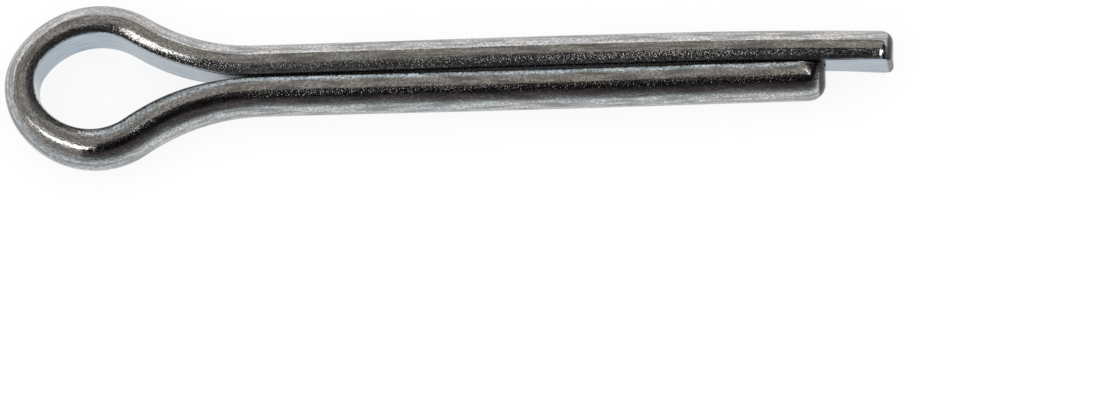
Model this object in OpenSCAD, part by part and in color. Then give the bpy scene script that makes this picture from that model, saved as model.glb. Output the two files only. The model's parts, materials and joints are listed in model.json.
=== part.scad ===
// Cotter pin of the extended-prong pattern: one length of half-round steel wire, folded with its flat
// inside so that the fold leaves an eye and the two legs close to a round shank. The pin lies flat, its
// shank runs along +X, and the origin is on the shank's axis in the plane where the eye seats on the
// rim of its hole. Each half of the eye has its own radii, as the eye isn't quite even.

/* [Wire] */
// Diameter of the round shank that the two legs make
shank_d = 2.94; // [2.6:0.02:3.2]
// Gap between the flats of the legs
leg_gap = 0.06; // [0.02:0.02:0.3]
// Radius along both edges of the wire's flat
edge_r = 0.12; // [0.06:0.02:0.3]

/* [Legs] */
// Length of the short leg, from the seat of the eye to the tip
pin_len = 25.4; // [12:0.2:60]
// Length by which the long leg passes the short one
prong_len = 2.76; // [1.6:0.02:6]
// Diameter of the hole that the eye seats on
hole_d = 3.57; // [3.3:0.01:4]

/* [Eye, on the side of the long leg] */
// Radius of the flat at the nose of the eye
long_nose_r = 1.2; // [0.8:0.02:1.9]
// Angle through which the nose turns
long_nose_turn = 31; // [10:0.2:50]
// Radius of the flat round the side of the eye
long_side_r = 2.62; // [2:0.02:3.4]
// Radius of the reverse bend that brings the side back to the leg
long_shoulder_r = 9.4; // [6:0.02:16]

/* [Eye, on the side of the short leg] */
// Radius of the flat at the nose of the eye
short_nose_r = 1.88; // [0.8:0.02:1.9]
// Angle through which the nose turns
short_nose_turn = 32; // [10:0.2:50]
// Radius of the flat round the side of the eye
short_side_r = 2.36; // [2:0.02:3.4]
// Radius of the reverse bend that brings the side back to the leg
short_shoulder_r = 10.02; // [6:0.02:16]

/* [Tips] */
// Rounding of the long leg's tip
long_tip_r = 0.46; // [0.1:0.02:0.7]
// Rounding of the short leg's tip
short_tip_r = 0.7; // [0.1:0.02:0.7]
// Chamfer between the end of each leg and its flat
tip_break = 0.12; // [0.04:0.02:0.3]
// Length of the bevel that the shears left on top of the short tip
bevel_len = 1.06; // [0.4:0.02:2]
// Slope of the bevel along the leg
bevel_slope = 34; // [15:1:50]
// Slope of the bevel towards the flat
bevel_roll = 24; // [5:1:40]

/* [Hidden] */
$fn = 96;
shank_r = shank_d / 2;
// Angle at which a rounding breaks into each of the two surfaces that it joins
meet = 12;
// Lap of each bend over the next one, which fuses them and is too small to matter otherwise
lap = 3e-8;

// Rounds a length to the micron, or an angle to a thousandth of a degree
function fine(value) = round(value * 1000) / 1000;

// Centre of the bend round the side of the eye, with the nose of the flat at the origin
function side_centre(nose_r, nose_turn, side_r) =
    [nose_r, 0] + (side_r - nose_r) * [cos(nose_turn), -sin(nose_turn)]
    - lap * [sin(nose_turn), cos(nose_turn)];

// Angle of the reverse bend, which leaves the flat half a gap from the shank's axis
function shoulder_turn(side, side_r, shoulder_r) =
    fine(acos((shoulder_r + leg_gap / 2 - side[1]) / (side_r + shoulder_r)));

// Centre of the reverse bend
function shoulder_centre(side, turn, side_r, shoulder_r) =
    side + (side_r + shoulder_r) * [sin(turn), cos(turn)] - lap * [cos(turn), -sin(turn)];

// Distance from the nose to where the outside of the reverse bend is as wide as the hole
function seat_at(shoulder, shoulder_r) =
    shoulder[0] - sqrt(pow(shoulder_r + leg_gap / 2 - shank_r, 2) - pow(shoulder[1] - hole_d / 2, 2));

long_side = side_centre(long_nose_r, long_nose_turn, long_side_r);
long_turn = shoulder_turn(long_side, long_side_r, long_shoulder_r);
long_shoulder = shoulder_centre(long_side, long_turn, long_side_r, long_shoulder_r);
short_side = side_centre(short_nose_r, short_nose_turn, short_side_r);
short_turn = shoulder_turn(short_side, short_side_r, short_shoulder_r);
short_shoulder = shoulder_centre(short_side, short_turn, short_side_r, short_shoulder_r);

// The eye seats on the side that meets the hole first
seat = max(seat_at(long_shoulder, long_shoulder_r), seat_at(short_shoulder, short_shoulder_r));

// What a rounding takes off the corner above and to the right of the origin
module corner_waste(radius, centre) {
    difference() {
        translate(centre) square(shank_d);
        translate(centre) circle(radius);
    }
}

// Half-round section of the wire, with its flat on x = 0 and its round towards +x. The centre of the
// round is half a gap behind the flat, so that both legs lie on one cylinder.
module section() {
    edge_x = edge_r * cos(meet);
    reach = sqrt(pow(shank_r, 2) + pow(edge_r, 2) - 2 * shank_r * edge_r * cos(meet));
    edge_y = sqrt(pow(reach, 2) - pow(edge_x + leg_gap / 2, 2));
    difference() {
        intersection() {
            translate([-leg_gap / 2, 0]) circle(shank_r);
            translate([0, -shank_d]) square([shank_d, 2 * shank_d]);
        }
        for (side = [0, 1]) mirror([0, side]) mirror([1, 0]) corner_waste(edge_r, [-edge_x, edge_y]);
    }
}

// Puts the children at a point in two steps, a coarse and a fine one, which keeps all its digits, so
// that the ends of the bends meet exactly
module place(at) {
    coarse = [for (value = at) fine(value)];
    translate(coarse) translate(at - coarse) children();
}

// Stretch of the wire bent about a centre, from one angle anticlockwise through another
module bend(centre, start, angle, radius) {
    place(centre) rotate_extrude(start = start, angle = angle) translate([radius, 0]) children();
}

// Straight leg, with its tip rounded about the shank's axis and eased along the flat
module leg(length, tip_r) {
    difference() {
        rotate([90, 0, 90]) linear_extrude(length) section();
        translate([0, -leg_gap / 2, 0]) rotate([0, 90, 0]) rotate_extrude()
            corner_waste(tip_r, [shank_r - tip_r * cos(meet), length - tip_r * cos(meet)]);
        translate([length - tip_break, 0, 0]) rotate(45) translate([-shank_d, -shank_d, -shank_d])
            cube([2 * shank_d, shank_d, 2 * shank_d]);
    }
}

// The short leg, with the bevel at the top of its tip
module bevelled_leg(length) {
    difference() {
        leg(length, short_tip_r);
        translate([length - bevel_len, 0, shank_r]) rotate([0, bevel_slope, 0])
            rotate([bevel_roll, 0, 0]) translate([-shank_d, -shank_d, 0])
            cube([3 * shank_d, 2 * shank_d, shank_d]);
    }
}

// Half of the pin, from the nose of the eye to the start of its leg, which the children make
module half_pin(nose_r, nose_turn, side, side_r, turn, shoulder, shoulder_r) {
    bend([nose_r, 0], 180 - nose_turn, nose_turn, nose_r) section();
    bend(side, 90 - turn, 90 + turn - nose_turn, side_r) section();
    bend(shoulder, 270 - turn, turn, shoulder_r) mirror([1, 0]) section();
    place(shoulder - [lap, shoulder_r]) children();
}

module cotter_pin() {
    color("silver") translate([-seat, 0, 0]) {
        half_pin(long_nose_r, long_nose_turn, long_side, long_side_r, long_turn, long_shoulder,
            long_shoulder_r) leg(seat + pin_len + prong_len - long_shoulder[0], long_tip_r);
        mirror([0, 1, 0])
            half_pin(short_nose_r, short_nose_turn, short_side, short_side_r, short_turn,
            short_shoulder, short_shoulder_r) bevelled_leg(seat + pin_len - short_shoulder[0]);
    }
}

cotter_pin();
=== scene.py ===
import json
import math

import bpy
from mathutils import Matrix, Vector


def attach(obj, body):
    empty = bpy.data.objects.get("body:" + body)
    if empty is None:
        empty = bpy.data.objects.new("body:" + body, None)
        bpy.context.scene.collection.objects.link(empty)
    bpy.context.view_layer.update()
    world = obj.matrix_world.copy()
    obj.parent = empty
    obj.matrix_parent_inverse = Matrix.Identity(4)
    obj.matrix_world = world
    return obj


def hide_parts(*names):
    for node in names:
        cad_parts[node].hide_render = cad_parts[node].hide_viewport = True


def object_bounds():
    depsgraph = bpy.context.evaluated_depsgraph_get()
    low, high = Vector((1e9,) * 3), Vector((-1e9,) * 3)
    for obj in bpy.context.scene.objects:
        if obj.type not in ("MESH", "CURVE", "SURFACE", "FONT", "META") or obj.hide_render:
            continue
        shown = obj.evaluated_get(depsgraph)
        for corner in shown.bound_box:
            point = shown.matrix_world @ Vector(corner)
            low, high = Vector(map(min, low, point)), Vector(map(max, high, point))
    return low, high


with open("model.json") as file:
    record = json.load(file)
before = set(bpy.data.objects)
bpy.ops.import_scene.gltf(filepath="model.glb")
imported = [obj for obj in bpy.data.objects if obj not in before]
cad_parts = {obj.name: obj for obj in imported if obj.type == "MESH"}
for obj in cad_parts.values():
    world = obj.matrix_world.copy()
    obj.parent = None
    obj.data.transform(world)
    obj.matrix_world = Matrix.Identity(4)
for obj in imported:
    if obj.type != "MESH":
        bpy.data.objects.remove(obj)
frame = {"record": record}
cad_low, cad_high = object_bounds()


# The wire, which is the whole cotter pin. It is half-round steel, folded with its flat inside, so that
# the fold leaves an eye and the two legs close to a split round shank. The wire is drawn through a die,
# folded round a mandrel and sheared to length, and the finished pin is zinc plated.
MM = 0.001
shank = next(m for m in frame["record"]["mounts"] if m["name"] == "shank")
shank_r = shank["dims"]["r_mm"] * MM
leg_gap = 0.06 * MM              # between the flats where the legs start
edge_r = 0.05 * MM               # along both edges of the flat
prong_len = 2.76 * MM            # by which the long leg passes the short one
end_len = 8.3 * MM               # over which the long leg bends inwards to its tip
tip_break = 0.12 * MM            # chamfer between the end of a leg and its flat
tip_fullness = 0.6               # share of its lost height that the wire keeps where a tip narrows
bevel_len = 0.92 * MM            # of the bevel that the shears left on top of the short tip
bevel_slope = math.radians(23)   # of the same bevel, along the leg
bevel_soft = 0.12 * MM           # rounding between the bevel and the wire's top
shank_roll = math.radians(3.6)   # of the flats, against the plane of the eye
nose_thinning = 0.08             # share of the wire's thickness that the fold took off at the nose
thinned_len = 4 * MM             # from the nose to where the wire has its full thickness

# The two halves of the eye and the two legs. Turns are in degrees. A bow is in the middle of its leg, a
# dip is at its end, and the unroll is the share of the roll that a leg loses at its tip.
long_half = {"nose_r": 1.2 * MM, "nose_turn": 31, "side_r": 2.62 * MM, "shoulder_r": 9.4 * MM}
short_half = {"nose_r": 1.88 * MM, "nose_turn": 32, "side_r": 2.36 * MM, "shoulder_r": 10.02 * MM}
long_leg = {"end": cad_high.x, "tip_r": 0.48 * MM, "bow": 0.04 * MM, "dip": 0.17 * MM, "unroll": 0.7}
short_leg = {"end": cad_high.x - prong_len, "tip_r": 0.7 * MM, "bow": 0.03 * MM, "dip": 0, "unroll": 0}


def arc(centre, radius, start, end, step):
    """Points on an arc from one angle to another, in degrees, without the last one."""
    count = max(2, round(math.radians(abs(end - start)) * radius / step))
    angles = [math.radians(start + (end - start) * i / count) for i in range(count)]
    return [centre + radius * Vector((math.cos(a), math.sin(a))) for a in angles]


def half_path(nose_r, nose_turn, side_r, shoulder_r, step=0.12 * MM):
    """Points on the flat from the nose of the eye to the start of the leg, on the side of +Y."""
    turn = math.radians(nose_turn)
    side = Vector((nose_r, 0)) + (side_r - nose_r) * Vector((math.cos(turn), -math.sin(turn)))
    back = math.acos((shoulder_r + leg_gap / 2 - side.y) / (side_r + shoulder_r))
    shoulder = side + (side_r + shoulder_r) * Vector((math.sin(back), math.cos(back)))
    back = math.degrees(back)
    return (arc(Vector((nose_r, 0)), nose_r, 180, 180 - nose_turn, step)
            + arc(side, side_r, 180 - nose_turn, 90 - back, step)
            + arc(shoulder, shoulder_r, 270 - back, 270, step)
            + [shoulder - Vector((0, shoulder_r))])


def leg_path(start, end, tip_r, bow, dip, unroll, step=0.25 * MM, fine_step=0.06 * MM, tip_steps=9):
    """Points along a leg, which stands out by its bow in the middle and dips inwards at its end.
    They are closer in its last 2 mm. Each has the share of the section that the rounding of the tip
    leaves, and its roll."""
    places = [start.x + step * i for i in range(1, round((end - start.x - 2 * MM) / step))]
    fine_places = [places[-1] + fine_step * i for i in range(1, 40)]
    places += [x for x in fine_places if x < end - tip_r]
    turns = [math.radians(90 * i / tip_steps) for i in range(tip_steps + 1)]
    points = [(x, 1.0) for x in places]
    points += [(end - tip_r * (1 - math.sin(a)), 1 - tip_r * (1 - math.cos(a)) / shank_r) for a in turns]
    path = []
    for x, share in points:
        near_end = max(0, 1 - (end - x) / end_len) ** 2
        out = bow * math.sin(math.pi * (x - start.x) / (end - start.x)) ** 2 - dip * near_end
        roll = shank_roll * (ramp(x, -2 * MM, 2 * MM) - unroll * ramp(x, end - 2.5 * MM, end))
        path.append((Vector((x, start.y + out)), share, roll))
    return path


def ramp(value, start, end):
    """Smooth step from 0 to 1."""
    share = min(1, max(0, (value - start) / (end - start)))
    return share * share * (3 - 2 * share)


def half_wire(half, leg, side):
    """Half of the wire from the nose of the eye to its tip, as points with shares and rolls. The
    fold thins the wire at the nose."""
    nose = Vector((cad_low.x + shank_r - leg_gap / 2, 0))
    points = []
    for p in half_path(**half):
        thinning = nose_thinning * (1 - ramp(p.length, 0, thinned_len))
        roll = shank_roll * ramp(nose.x + p.x, -2 * MM, 2 * MM)
        points.append((nose + p - Vector((thinning * shank_r, 0)), 1 - thinning, roll))
    points += leg_path(points[-1][0], **leg)
    return [(Vector((p.x, side * p.y, 0)), share, -side * roll) for p, share, roll in points]


long_wire = half_wire(long_half, long_leg, 1)
short_wire = half_wire(short_half, short_leg, -1)


def poly_curve(name, points, cyclic=False):
    """A curve object through points, each with its share of the section's radius and its roll."""
    data = bpy.data.curves.new(name, "CURVE")
    data.dimensions = "3D"
    spline = data.splines.new("POLY")
    spline.points.add(len(points) - 1)
    for target, (place, share, roll) in zip(spline.points, points):
        target.co = (*place, 1)
        target.radius = share
        target.tilt = roll
    spline.use_cyclic_u = cyclic
    made = bpy.data.objects.new(name, data)
    bpy.context.scene.collection.objects.link(made)
    return made


def wire_section(round_steps=44, edge_steps=7, flat_steps=12):
    """Half-round section with its flat on x = 0, its round towards +x and both edges rounded."""
    centre = Vector((-leg_gap / 2, 0))
    edge_y = math.sqrt((shank_r - edge_r) ** 2 - (edge_r + leg_gap / 2) ** 2)
    upper_edge = Vector((edge_r, edge_y))
    lower_edge = Vector((edge_r, -edge_y))
    meet = math.degrees(math.atan2(edge_y, edge_r - centre.x))
    round_step = 2 * math.radians(meet) * shank_r / round_steps
    edge_step = math.radians(180 - meet) * edge_r / edge_steps
    points = arc(centre, shank_r, -meet, meet, round_step)
    points += arc(upper_edge, edge_r, meet, 180, edge_step)
    points += [Vector((0, edge_y * (1 - 2 * i / flat_steps))) for i in range(flat_steps)]
    points += arc(lower_edge, edge_r, 180, 360 - meet, edge_step)
    return [(p.to_3d(), 1.0, 0.0) for p in points]


def node_tree(name, inputs):
    """A Geometry Nodes tree with one geometry through it and named inputs."""
    tree = bpy.data.node_groups.new(name, "GeometryNodeTree")
    tree.interface.new_socket("Geometry", in_out="INPUT", socket_type="NodeSocketGeometry")
    for label, kind in inputs:
        tree.interface.new_socket(label, in_out="INPUT", socket_type=kind)
    tree.interface.new_socket("Geometry", in_out="OUTPUT", socket_type="NodeSocketGeometry")
    return tree


def sweep_tree():
    """Sweeps the section along the path, keeps where each point lies on the straight wire, and
    cuts the shears' bevel into the top of the short tip."""
    sizes = ("Bend At", "Long End", "Short End", "Tip Break", "Tip Fullness",
             "Bevel Start", "Bevel Top", "Bevel Slope", "Bevel Softness")
    tree = node_tree("sweep wire", [("Section", "NodeSocketObject"), ("Material", "NodeSocketMaterial")]
                     + [(size, "NodeSocketFloat") for size in sizes])
    nodes, links = tree.nodes, tree.links

    def add(kind, settings=None, **inputs):
        made = nodes.new(kind)
        for key, value in (settings or {}).items():
            setattr(made, key, value)
        for key, value in inputs.items():
            socket = made.inputs[int(key[1:])] if key[0] == "i" and key[1:].isdigit() else made.inputs[key]
            if isinstance(value, bpy.types.NodeSocket):
                links.new(value, socket)
            else:
                socket.default_value = value
        return made

    def maths(operation, *values):
        return add("ShaderNodeMath", {"operation": operation},
                   **{f"i{n}": value for n, value in enumerate(values)}).outputs[0]

    given = nodes.new("NodeGroupInput").outputs
    result = nodes.new("NodeGroupOutput")

    along = add("GeometryNodeSplineParameter").outputs["Length"]
    path = add("GeometryNodeStoreNamedAttribute", {"data_type": "FLOAT", "domain": "POINT"},
               Geometry=given["Geometry"], Name="along", Value=along).outputs[0]
    share = add("GeometryNodeInputRadius").outputs[0]
    path = add("GeometryNodeStoreNamedAttribute", {"data_type": "FLOAT", "domain": "POINT"},
               Geometry=path, Name="share", Value=share).outputs[0]
    path = add("GeometryNodeSetCurveNormal", {"mode": "Z_UP"}, Curve=path).outputs[0]

    section = add("GeometryNodeObjectInfo", Object=given["Section"]).outputs["Geometry"]
    spot = add("GeometryNodeInputPosition").outputs[0]
    section = add("GeometryNodeStoreNamedAttribute", {"data_type": "FLOAT_VECTOR", "domain": "POINT"},
                  Geometry=section, Name="across", Value=spot).outputs[0]
    wire = nodes.new("GeometryNodeCurveToMesh")
    links.new(path, wire.inputs["Curve"])
    links.new(section, wire.inputs["Profile Curve"])
    links.new(share, wire.inputs["Scale"])
    wire.inputs["Fill Caps"].default_value = True

    read_along = add("GeometryNodeInputNamedAttribute", {"data_type": "FLOAT"}, Name="along").outputs[0]
    read_across = add("GeometryNodeInputNamedAttribute", {"data_type": "FLOAT_VECTOR"},
                      Name="across").outputs[0]
    across = add("ShaderNodeSeparateXYZ", Vector=read_across).outputs
    straight = add("ShaderNodeCombineXYZ", X=read_along, Y=across[0], Z=across[1]).outputs[0]
    wire = add("GeometryNodeStoreNamedAttribute", {"data_type": "FLOAT_VECTOR", "domain": "POINT"},
               Geometry=wire.outputs[0], Name="wire", Value=straight).outputs[0]

    # Each flat is chamfered at its end. Where the section narrows, its height shrinks less.
    place = add("ShaderNodeSeparateXYZ", Vector=spot).outputs
    read_share = add("GeometryNodeInputNamedAttribute", {"data_type": "FLOAT"}, Name="share").outputs[0]
    lost_height = maths("MULTIPLY", across[1], maths("SUBTRACT", 1.0, read_share))
    taller = maths("MULTIPLY", lost_height, given["Tip Fullness"])
    short_leg = maths("GREATER_THAN", read_along, given["Bend At"])
    end = maths("ADD", given["Long End"],
                maths("MULTIPLY", short_leg, maths("SUBTRACT", given["Short End"], given["Long End"])))
    reach = maths("SUBTRACT", given["Tip Break"], maths("SUBTRACT", end, place[0]))
    chamfer = maths("MAXIMUM", 0.0, maths("SUBTRACT", reach, across[0]))
    side = maths("SUBTRACT", 1.0, maths("MULTIPLY", short_leg, 2.0))
    moved = add("ShaderNodeCombineXYZ", X=0.0, Y=maths("MULTIPLY", side, chamfer), Z=taller).outputs[0]
    wire = add("GeometryNodeSetPosition", Geometry=wire, Offset=moved).outputs[0]

    # The bevel is a plane that falls towards the tip.
    fall = maths("MULTIPLY", maths("SUBTRACT", place[0], given["Bevel Start"]), given["Bevel Slope"])
    plane = maths("SUBTRACT", given["Bevel Top"], fall)
    height = maths("SMOOTH_MIN", place[2], plane, given["Bevel Softness"])
    near_tip = maths("GREATER_THAN", place[0], maths("SUBTRACT", given["Bevel Start"], 1 * MM))
    above = maths("GREATER_THAN", place[2], 0.0)
    chosen = maths("MULTIPLY", maths("MULTIPLY", near_tip, short_leg), above)
    lowered = add("ShaderNodeCombineXYZ", X=place[0], Y=place[1], Z=height).outputs[0]
    wire = add("GeometryNodeSetPosition", Geometry=wire, Selection=chosen, Position=lowered).outputs[0]

    wire = add("GeometryNodeSetShadeSmooth", Geometry=wire).outputs[0]
    wire = add("GeometryNodeRealizeInstances", Geometry=wire).outputs[0]
    wire = add("GeometryNodeSetMaterial", Geometry=wire, Material=given["Material"]).outputs[0]
    links.new(wire, result.inputs[0])
    return tree


def sweep_wire(material, bend_at):
    """The finished wire as a plain mesh."""
    path = poly_curve("wire_path", long_wire[::-1] + short_wire[1:])
    section = poly_curve("wire_section", wire_section(), cyclic=True)
    modifier = path.modifiers.new("sweep", "NODES")
    modifier.node_group = sweep_tree()
    values = {"Section": section, "Material": material, "Bend At": bend_at,
              "Long End": long_leg["end"], "Short End": short_leg["end"],
              "Tip Break": tip_break, "Tip Fullness": tip_fullness,
              "Bevel Start": short_leg["end"] - bevel_len, "Bevel Top": shank_r,
              "Bevel Slope": math.tan(bevel_slope), "Bevel Softness": bevel_soft}
    for item in modifier.node_group.interface.items_tree:
        if item.in_out == "INPUT" and item.name in values:
            modifier[item.identifier] = values[item.name]
    bpy.context.view_layer.update()
    shaped = path.evaluated_get(bpy.context.evaluated_depsgraph_get())
    mesh = bpy.data.meshes.new_from_object(shaped)
    bpy.data.objects.remove(path)
    bpy.data.objects.remove(section)
    mesh.name = "cotter_pin_wire"
    made = bpy.data.objects.new("cotter_pin_wire", mesh)
    bpy.context.scene.collection.objects.link(made)
    return made


def zinc_plate(bend_at, short_len):
    """Zinc plate on drawn steel. Lines from the die run along the wire, and the plating adds a fine
    grain and pits. The bend stretched the wire's surface, which is smoother there. The attribute wire
    holds where a point lies on the wire before it is bent: along it, out from its flat, and up."""
    material = bpy.data.materials.new("zinc_plate")
    material.use_nodes = True
    nodes, links = material.node_tree.nodes, material.node_tree.links
    shader = nodes["Principled BSDF"]
    shader.inputs["Metallic"].default_value = 1.0
    shader.inputs["Specular Tint"].default_value = (0.7, 0.7, 0.7, 1)

    place = nodes.new("ShaderNodeAttribute")
    place.attribute_name = "wire"

    def noise(along, across, detail, seed):
        """Noise with so many grains in a millimetre, along the wire and across it."""
        scaled = nodes.new("ShaderNodeVectorMath")
        scaled.operation = "MULTIPLY"
        scaled.inputs[1].default_value = (along / MM, across / MM, across / MM)
        links.new(place.outputs["Vector"], scaled.inputs[0])
        made = nodes.new("ShaderNodeTexNoise")
        made.noise_dimensions = "4D"
        made.inputs["Scale"].default_value = 1
        made.inputs["W"].default_value = seed
        made.inputs["Detail"].default_value = detail
        links.new(scaled.outputs[0], made.inputs["Vector"])
        return made.outputs["Fac"]

    def remap(value, low, high, to_low, to_high):
        """Value taken from one range to another, and held at its ends."""
        made = nodes.new("ShaderNodeMapRange")
        made.inputs["From Min"].default_value = low
        made.inputs["From Max"].default_value = high
        made.inputs["To Min"].default_value = to_low
        made.inputs["To Max"].default_value = to_high
        links.new(value, made.inputs["Value"])
        return made.outputs[0]

    def maths(operation, *values):
        made = nodes.new("ShaderNodeMath")
        made.operation = operation
        for socket, value in zip(made.inputs, values):
            if isinstance(value, bpy.types.NodeSocket):
                links.new(value, socket)
            else:
                socket.default_value = value
        return made.outputs[0]

    def blend(factor, first, second):
        """Colour between two others, each a colour or a socket."""
        made = nodes.new("ShaderNodeMix")
        made.data_type = "RGBA"
        links.new(factor, made.inputs["Factor"])
        for name, value in (("A", first), ("B", second)):
            socket = next(s for s in made.inputs if s.name == name and s.type == "RGBA")
            if isinstance(value, bpy.types.NodeSocket):
                links.new(value, socket)
            else:
                socket.default_value = (*value, 1)
        return next(s for s in made.outputs if s.type == "RGBA")

    split = nodes.new("ShaderNodeSeparateXYZ")
    links.new(place.outputs["Vector"], split.inputs[0])
    along, off_flat, up = split.outputs
    from_bend = maths("ABSOLUTE", maths("SUBTRACT", along, bend_at))
    short_side = maths("GREATER_THAN", along, bend_at)

    lines = noise(along=0.7, across=5, detail=4, seed=1)
    grain = noise(along=8, across=12, detail=1, seed=2)
    pits = noise(along=13, across=17, detail=1, seed=3)
    film = noise(along=0.5, across=0.8, detail=3, seed=4)

    # The pits are thick where the wire lies on top, and thin out down its sides.
    top_from = maths("SUBTRACT", 1.22 * MM, maths("MULTIPLY", short_side, 0.45 * MM))
    scuffed = remap(maths("SUBTRACT", maths("ABSOLUTE", up), top_from), 0, 0.14 * MM, 0.12, 1)
    scuffed = maths("MULTIPLY", scuffed, remap(along, 2.6 * MM, 9 * MM, 0.1, 0.8))

    # The shears left both ends rough, and both ends also get painted shade, a near-black colour.
    # The short end has the wider band.
    from_end = maths("MINIMUM", along, maths("SUBTRACT", bend_at + short_len, along))
    from_end = maths("SUBTRACT", from_end, maths("MULTIPLY", short_side, 0.05 * MM))
    rough_and_shaded_end = remap(from_end, 0.16 * MM, 0.24 * MM, 1, 0)
    scuffed = maths("ADD", scuffed, maths("MULTIPLY", rough_and_shaded_end, 1.5))

    # Heights are in shares of the bump's depth. The bend has shallower lines than the legs.
    bump_depth = 0.003 * MM
    line_share = remap(from_bend, 4 * MM, 11 * MM, 0.45, 1)
    height = maths("MULTIPLY", remap(lines, 0.3, 0.7, 0, 0.45), line_share)
    height = maths("ADD", height, remap(grain, 0.3, 0.7, 0, 0.18))
    height = maths("ADD", height, maths("MULTIPLY", remap(pits, 0.52, 0.72, 0, 1), scuffed))
    bump = nodes.new("ShaderNodeBump")
    bump.inputs["Strength"].default_value = 1
    bump.inputs["Distance"].default_value = bump_depth
    links.new(height, bump.inputs["Height"])
    links.new(bump.outputs[0], shader.inputs["Normal"])

    links.new(remap(grain, 0.35, 0.65, 0.04, 0.12), shader.inputs["Roughness"])

    cool_zinc, warm_zinc = (0.75, 0.77, 0.79), (0.82, 0.8, 0.77)
    in_lines, in_pits, in_grain = (0.25, 0.25, 0.26), (0.2, 0.185, 0.18), (0.25, 0.24, 0.235)
    colour = blend(remap(film, 0.35, 0.65, 0, 1), cool_zinc, warm_zinc)
    colour = blend(remap(lines, 0.38, 0.56, 0.8, 0), colour, in_lines)
    colour = blend(remap(pits, 0.5, 0.66, 0, 0.65), colour, in_pits)
    colour = blend(remap(grain, 0.4, 0.6, 0.6, 0), colour, in_grain)

    # The flat is bluer. Where the legs face each other, the shade in the gap between them is painted in as a
    # near-black colour, up to the edge of the long leg.
    deep_blue, pale_blue, painted_gap_shade = (0.33, 0.45, 0.58), (0.5, 0.61, 0.71), (0.04, 0.04, 0.045)
    on_flat = remap(off_flat, 0.2 * edge_r, edge_r, 1, 0)
    blue = blend(remap(lines, 0.35, 0.6, 0, 1), deep_blue, pale_blue)
    colour = blend(maths("MULTIPLY", on_flat, 0.85), colour, blue)
    legs_start = remap(from_bend, 8 * MM, 10 * MM, 0, 1)
    legs_end = remap(from_bend, short_len - 0.45 * MM, short_len - 0.2 * MM, 1, 0)
    # How far out from the flat the painted gap shade reaches. It reaches less far on the short leg.
    gap_shade_to = maths("SUBTRACT", 1.2 * edge_r, maths("MULTIPLY", short_side, 0.7 * edge_r))
    in_gap = remap(maths("SUBTRACT", off_flat, gap_shade_to), 0, 0.4 * edge_r, 1, 0)
    facing = maths("MULTIPLY", maths("MULTIPLY", legs_start, legs_end), in_gap)
    colour = blend(facing, colour, painted_gap_shade)

    # Painted shade on both ends of the wire, a near-black colour.
    painted_end_shade = (0.05, 0.043, 0.04)
    colour = blend(maths("MULTIPLY", rough_and_shaded_end, 0.95), colour, painted_end_shade)
    links.new(colour, shader.inputs["Base Color"])
    return material


def length(points):
    """Length of a path, whose points each come with a share and a roll."""
    return sum((b[0] - a[0]).length for a, b in zip(points[1:], points))


wire = sweep_wire(zinc_plate(length(long_wire), length(short_wire)), length(long_wire))
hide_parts("cotter_pin")
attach(wire, "root")


# The floor, a wide sheet of matt white paper that the pin lies on. It shows white to the eye and in the
# metal, and keeps a part of the pin's shadow.
def floor():
    half = 1.5
    shown_white = 0.88
    mesh = bpy.data.meshes.new("floor")
    corners = [(-half, -half), (half, -half), (half, half), (-half, half)]
    mesh.from_pydata([(x, y, cad_low.z) for x, y in corners], [], [(0, 1, 2, 3)])
    made = bpy.data.objects.new("floor", mesh)
    bpy.context.scene.collection.objects.link(made)
    material = bpy.data.materials.new("white_paper")
    material.use_nodes = True
    nodes, links = material.node_tree.nodes, material.node_tree.links
    shader = nodes["Principled BSDF"]
    shader.inputs["Base Color"].default_value = (0.88, 0.88, 0.88, 1)
    shader.inputs["Roughness"].default_value = 1.0
    white = nodes.new("ShaderNodeEmission")
    white.inputs["Color"].default_value = (1, 1, 1, 1)
    white.inputs["Strength"].default_value = 1.0
    ray = nodes.new("ShaderNodeLightPath")
    seen = ray.outputs["Is Camera Ray"]
    for kind in ("Is Glossy Ray", "Is Transmission Ray"):
        either = nodes.new("ShaderNodeMath")
        either.operation = "MAXIMUM"
        links.new(seen, either.inputs[0])
        links.new(ray.outputs[kind], either.inputs[1])
        seen = either.outputs[0]
    share = nodes.new("ShaderNodeMath")
    share.operation = "MULTIPLY"
    share.inputs[1].default_value = shown_white
    links.new(seen, share.inputs[0])
    mix = nodes.new("ShaderNodeMixShader")
    links.new(share.outputs[0], mix.inputs[0])
    links.new(shader.outputs[0], mix.inputs[1])
    links.new(white.outputs[0], mix.inputs[2])
    links.new(mix.outputs[0], nodes["Material Output"].inputs["Surface"])
    mesh.materials.append(material)


floor()


# The studio, a room with pale walls and lamps on its ceiling. Two of the lamps show in the metal, and the
# third only fills the shadows. Cards and cloths hang under the ceiling, for the metal to mirror.
world = bpy.data.worlds.new("studio")
bpy.context.scene.world = world
world.use_nodes = True
walls = world.node_tree.nodes["Background"]
walls.inputs["Color"].default_value = (0.37, 0.35, 0.32, 1)
walls.inputs["Strength"].default_value = 1.0
ceiling = 0.6


def softbox(name, middle, size, turn, brightness, colour, shape="RECTANGLE", mirrored=True):
    """A lamp on the ceiling, facing down, which shows in the metal unless it isn't mirrored."""
    data = bpy.data.lights.new(name, "AREA")
    data.shape = shape
    data.size, data.size_y = size
    data.energy = brightness * math.pi * size[0] * size[1]
    data.color = colour
    lamp = bpy.data.objects.new(name, data)
    lamp.location = (*middle, ceiling)
    lamp.rotation_euler.z = math.radians(turn)
    lamp.visible_camera = False
    lamp.visible_glossy = mirrored
    bpy.context.scene.collection.objects.link(lamp)


softbox("softbox", (0.207, 0.441), (0.33, 0.318), 0, 2.2, (1, 1, 1))
softbox("oval_light", (-0.75, -0.69), (1.5, 0.36), -17, 2.0, (1, 1, 1), shape="ELLIPSE")
softbox("fill", (0, 0), (1.2, 1.2), 0, 1.45, (0.94, 0.97, 1), mirrored=False)


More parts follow.
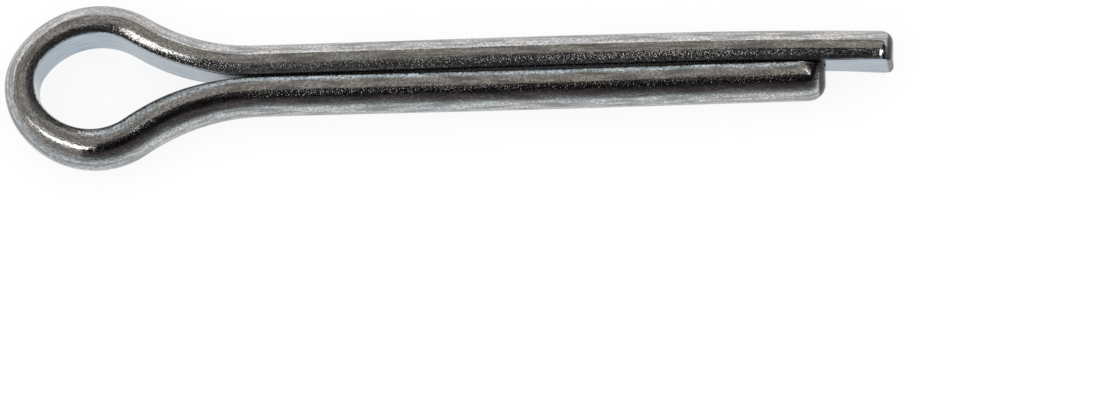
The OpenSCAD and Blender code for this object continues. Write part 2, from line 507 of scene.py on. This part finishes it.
def sheet(name, rows):
    """A sheet that only the metal mirrors, as rows of points, each with its own brightness or colour."""
    points = [point for row in rows for point, _ in row]
    shades = [shade if isinstance(shade, tuple) else (shade,) * 3 for row in rows for _, shade in row]
    width = len(rows[0])
    faces = [(i, i + 1, i + width + 1, i + width)
             for j in range(len(rows) - 1) for i in range(j * width, (j + 1) * width - 1)]
    mesh = bpy.data.meshes.new(name)
    mesh.from_pydata(points, [], faces)
    glow = mesh.attributes.new("glow", "FLOAT_COLOR", "POINT")
    for target, shade in zip(glow.data, shades):
        target.color = (*shade, 1)
    made = bpy.data.objects.new(name, mesh)
    bpy.context.scene.collection.objects.link(made)
    material = bpy.data.materials.new(name)
    material.use_nodes = True
    nodes, links = material.node_tree.nodes, material.node_tree.links
    colour = nodes.new("ShaderNodeAttribute")
    colour.attribute_name = "glow"
    emission = nodes.new("ShaderNodeEmission")
    links.new(colour.outputs["Color"], emission.inputs["Color"])
    links.new(emission.outputs[0], nodes["Material Output"].inputs["Surface"])
    mesh.materials.append(material)
    made.visible_camera = False
    made.visible_diffuse = False
    made.visible_transmission = False
    made.visible_shadow = False


def overhead(name, rows):
    """A sheet just below the ceiling, with its points given in shares of its height."""
    height = 0.95 * ceiling
    sheet(name, [[((x * height, y * height, height), shade) for x, y, shade in row] for row in rows])


white, bluish, greyish = (0.85, 0.84, 0.82), (0.72, 0.82, 0.88), (0.6, 0.6, 0.58)
card = ((-0.26, white), (-0.1, bluish), (0.04, bluish), (0.08, greyish), (0.18, greyish))
overhead("white_card", [[(x, y, shade) for x, shade in card] for y in (-0.21, 0.05)])

overhead("black_cloth", [
    [(-0.25, -0.06, 0.12), (-0.2, 0.13, 0.05), (-0.15, 0.27, 0.035), (-0.11, 0.32, 0.05)],
    [(-0.75, -0.06, 0.14), (-0.8, 0.6, 0.05), (-0.6, 0.92, 0.02), (-0.11, 0.95, 0.04)]])

# The grey cloth is paler along its left edge.
cloth = ((-0.12, 3), (-0.085, 2.5), (-0.055, 1), (0.07, 1))
overhead("grey_cloth", [[(x, y, times * shade) for x, times in cloth]
                        for y, shade in ((0.05, 0.01), (0.16, 0.05), (0.4, 0.035), (1.2, 0.045))])
overhead("grey_flap", [[(x, y, 0.05) for x in (0.07, 0.14)] for y in (0.1, 0.44)])

# Two white boards as bright as the softbox give the eye and the tips their glints.
glint = 2.2
overhead("lit_board", [[(x, y, glint) for x in (0.8, 1.2)] for y in (0.75, 1.15)])
overhead("strip_light", [[(x, -0.15, glint) for x in (0.32, 0.6)], [(x, -0.7, glint) for x in (0.57, 0.85)]])


# The curtain, black cloth that hangs round the short leg and the tips. The metal mirrors it as the dark
# band along each leg. It is palest at the bottom, and its upper part starts a little further right.
def curtain():
    shade_at_height = ((1.0, 0.04), (0.72, 0.02), (0.5, 0.005), (0.35, 0.02),
                       (0.2, 0.075), (0.1, 0.105), (0.0, 0.135))
    rows = []
    for share, shade in shade_at_height:
        start = -0.16 if share > 0.6 else -0.26
        folds = ((start, -0.8, 0.84), (0.1, -0.8, 1.05), (0.5, -0.8, 1.2),
                 (1.2, -0.8, 1.5), (1.2, 0.35, 1.5), (0.5, 0.79, 0.7))
        colour = (1.08 * shade, 0.95 * shade, 0.99 * shade)
        rows.append([((x, y, cad_low.z + share * top), colour) for x, y, top in folds])
    sheet("black_curtain", rows)


# The floor as the sides of the metal mirror it, from the pin outwards: painted shade on the floor, a sheet
# that only the metal sees. It is white near the pin, falls to black on the curtain's side, and stays pale on
# the other. A darkness of 1 is the curtain's side, 0 the pale one, and below 0 it is paler still.
def floor_paper():
    away = (1.0 * MM, 3.4 * MM, 5.8 * MM, 8.1 * MM, 12.5 * MM, 26.5 * MM, 0.8)
    pale = (0.8, 0.75, 0.7, 0.62, 0.55, 0.48, 0.42)
    dark = (0.94, 0.9, 0.7, 0.45, 0.26, 0.18, 0.135)
    eye = Vector((-4.6 * MM, 0))
    eye_inside = 3.5 * MM
    columns = []
    for turn, darkness in ((175, -1), (195, -0.3), (210, 0), (230, 0.1), (250, 0.2), (262, 0.9)):
        direction = Vector((math.cos(math.radians(turn)), math.sin(math.radians(turn))))
        columns.append((eye + eye_inside * direction, direction, darkness))
    for x, y in ((-4.0 * MM, -3.5 * MM), (0, -2.2 * MM), (3.5 * MM, -shank_r)):
        columns.append((Vector((x, y)), Vector((0, -1)), 1))
    tip = Vector((cad_high.x - shank_r, 0))
    for turn, darkness in ((270, 1), (300, 1), (335, 1), (5, 1), (25, 0.5), (45, -1)):
        direction = Vector((math.cos(math.radians(turn)), math.sin(math.radians(turn))))
        columns.append((tip + shank_r * direction, direction, darkness))
    rows = []
    for distance, light, shade in zip(away, pale, dark):
        row = []
        for foot, direction, darkness in columns:
            place = foot + distance * direction
            tone = light + ((shade - light) * darkness if darkness > 0 else (light - 1) * darkness)
            row.append(((place.x, place.y, cad_low.z + 0.02 * MM), (0.93 * tone, 0.98 * tone, tone)))
        rows.append(row)
    sheet("floor_paper", rows)


# The ledge, a low white wall behind the long leg, with a dark rail on top. It gives the long leg the
# bright line along its outer side.
def white_ledge():
    corners = ((-0.8, 0.05), (-0.8, 0.8), (1.5, 0.8))
    rows = []
    for height, light in ((0, 1.05), (0.07, 1.25), (0.075, 0.2), (0.14, 0.32)):
        colour = (1.05 * light, 1.03 * light, light)
        rows.append([((x, y, cad_low.z + height), colour) for x, y in corners])
    sheet("white_ledge", rows)


curtain()
floor_paper()
white_ledge()


# The camera, a long lens high over the pin. It leans a little towards the short leg and the tips, and
# its view leaves room below the pin.
view_width = 45.12 * MM                          # what the view takes in, across
lean_front = math.radians(12.0)                  # from straight above, towards the short leg
lean_right = math.radians(3.4)                   # from straight above, towards the tips
view_roll = math.radians(1.62)                   # by which the pin rises to the right
lens_mm = 400
eye_in_view = Vector((-20.93 * MM, 4.80 * MM))   # nose of the eye's flat, from the middle of the view


def overhead_camera():
    back = Vector((math.tan(lean_right), -math.tan(lean_front), 1))
    back.normalize()
    level_right = (Vector((1, 0, 0)) - back.x * back).normalized()
    level_up = back.cross(level_right)
    right = level_right * math.cos(view_roll) - level_up * math.sin(view_roll)
    up = level_up * math.cos(view_roll) + level_right * math.sin(view_roll)
    nose = Vector((cad_low.x + shank_r - leg_gap / 2, 0, 0))
    middle = nose - right * eye_in_view.x - up * eye_in_view.y
    data = bpy.data.cameras.new("camera")
    data.lens = lens_mm
    data.clip_start = 0.01
    data.clip_end = 10
    camera = bpy.data.objects.new("camera", data)
    camera.matrix_world = Matrix((right, up, back)).transposed().to_4x4()
    camera.location = middle + back * (view_width * lens_mm / data.sensor_width)
    bpy.context.scene.collection.objects.link(camera)
    bpy.context.scene.camera = camera


overhead_camera()

bpy.context.scene.view_settings.view_transform = "Standard"
